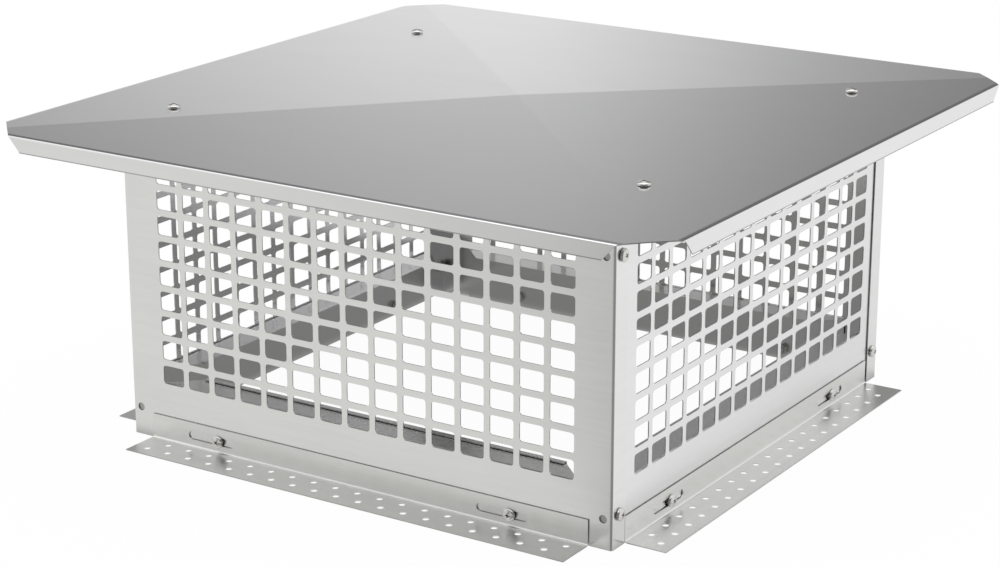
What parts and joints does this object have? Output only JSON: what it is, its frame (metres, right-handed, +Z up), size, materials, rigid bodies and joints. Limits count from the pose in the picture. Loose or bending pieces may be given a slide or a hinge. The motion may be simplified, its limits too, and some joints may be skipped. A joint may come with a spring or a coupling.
{
  "type": "chimney cap",
  "caption": "Square chimney cap of folded stainless sheet: open mesh sides, a shallow pyramid lid and slotted angle feet that fix it round a flue.",
  "frame": {"origin": "middle of the base, on the plane under the four feet", "axes": "+X out of the right panel, -Y out of the front panel, +Z up through the lid's peak"},
  "size_m": [0.586, 0.586, 0.2558],
  "materials": {
    "lid_steel": "satin mill finish, reflecting the sky unevenly over its four slopes",
    "wide_panel_steel": "satin brushed",
    "side_panel_steel": "satin brushed",
    "bracket_steel": "satin brushed",
    "screw_steel": "bright polished",
    "nut_steel": "bright plain"
  },
  "bodies": {
    "root": {"lid": "lid_steel", "front_panel": "wide_panel_steel", "right_panel": "side_panel_steel", "back_panel": "wide_panel_steel", "left_panel": "side_panel_steel", "front_bracket": "bracket_steel", "right_bracket": "bracket_steel", "back_bracket": "bracket_steel", "left_bracket": "bracket_steel", "corner_screw_1": "screw_steel", "corner_nut_1": "nut_steel", "corner_screw_2": "screw_steel", "corner_nut_2": "nut_steel", "corner_screw_3": "screw_steel", "corner_nut_3": "nut_steel", "corner_screw_4": "screw_steel", "corner_nut_4": "nut_steel", "corner_screw_5": "screw_steel", "corner_nut_5": "nut_steel", "corner_screw_6": "screw_steel", "corner_nut_6": "nut_steel", "corner_screw_7": "screw_steel", "corner_nut_7": "nut_steel", "corner_screw_8": "screw_steel", "corner_nut_8": "nut_steel", "bracket_screw_1": "screw_steel", "bracket_nut_1": "nut_steel", "bracket_screw_2": "screw_steel", "bracket_nut_2": "nut_steel", "bracket_screw_3": "screw_steel", "bracket_nut_3": "nut_steel", "bracket_screw_4": "screw_steel", "bracket_nut_4": "nut_steel", "bracket_screw_5": "screw_steel", "bracket_nut_5": "nut_steel", "bracket_screw_6": "screw_steel", "bracket_nut_6": "nut_steel", "bracket_screw_7": "screw_steel", "bracket_nut_7": "nut_steel", "bracket_screw_8": "screw_steel", "bracket_nut_8": "nut_steel", "lid_screw_1": "screw_steel", "lid_nut_1": "nut_steel", "lid_screw_2": "screw_steel", "lid_nut_2": "nut_steel", "lid_screw_3": "screw_steel", "lid_nut_3": "nut_steel", "lid_screw_4": "screw_steel", "lid_nut_4": "nut_steel"}
  },
  "joints": []
}
